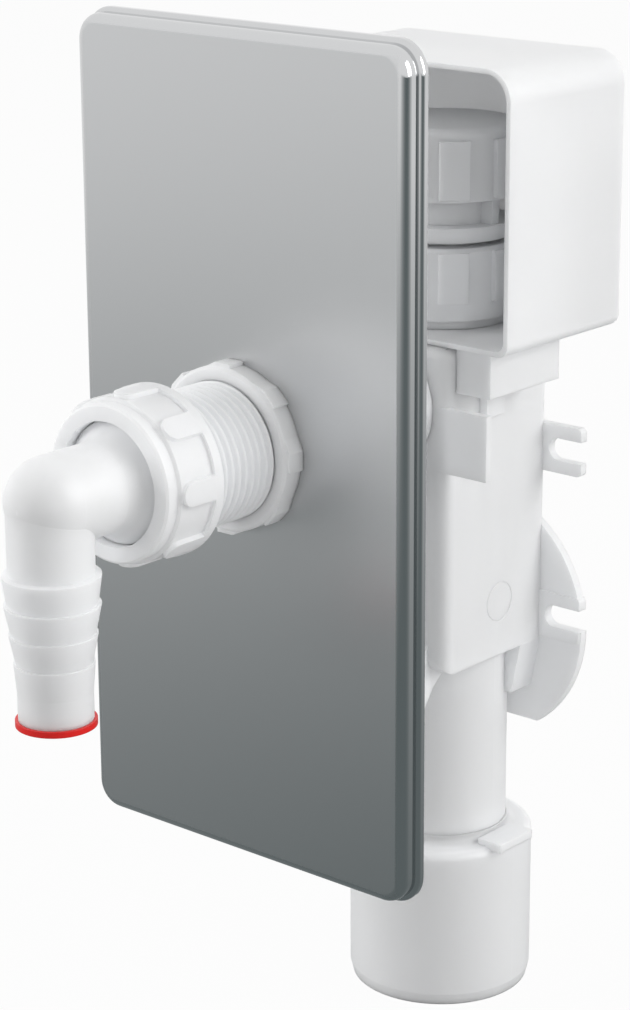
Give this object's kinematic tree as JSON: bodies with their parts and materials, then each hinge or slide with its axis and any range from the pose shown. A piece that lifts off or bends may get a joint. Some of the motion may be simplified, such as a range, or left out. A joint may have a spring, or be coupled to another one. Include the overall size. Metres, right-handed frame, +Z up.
{
  "type": "washing machine standpipe trap",
  "caption": "In-wall washing machine trap: steel cover plate, threaded inlet with a swivelling hose elbow, square trap column on an outlet spigot, and a box above with an air valve.",
  "frame": {"origin": "on the axis of the outlet spigot, at the foot of its straight wall, just above the lead-in", "axes": "+Z up along the outlet axis; -Y out of the wall, the way the cover plate faces; +X to the right for someone facing the plate"},
  "size_m": [0.1064, 0.1804, 0.2709],
  "materials": {
    "white_polypropylene": "smooth moulded, satin",
    "stainless_steel": "satin front, polished rim",
    "red_plastic": "smooth, slightly glossy",
    "black_rubber": "matt"
  },
  "bodies": {
    "trap": {"outlet_reducer": "white_polypropylene", "reducer_seal": "black_rubber", "trap_body": "white_polypropylene", "body_lid": "white_polypropylene", "inlet_tube": "white_polypropylene", "cover_plate": "stainless_steel", "ring_nut": "white_polypropylene", "union_nut": "white_polypropylene", "elbow_seal": "black_rubber", "wall_box": "white_polypropylene", "floor_gasket": "white_polypropylene", "valve_nut": "white_polypropylene", "valve_seal": "black_rubber", "valve_body": "white_polypropylene", "valve_cap": "white_polypropylene"},
    "elbow": {"elbow_tail": "white_polypropylene", "end_cap": "red_plastic"},
    "diaphragm": {"valve_diaphragm": "black_rubber"}
  },
  "joints": [
    {"name": "elbow_swivel", "type": "hinge", "parent": "trap", "child": "elbow", "pos_m": [0, -0.14385, 0.1661], "axis": [0, 1, 0], "continuous": true},
    {"name": "diaphragm_lift", "type": "slide", "parent": "trap", "child": "diaphragm", "axis": [0, 0, 1], "range_m": [0, 0.003]}
  ]
}
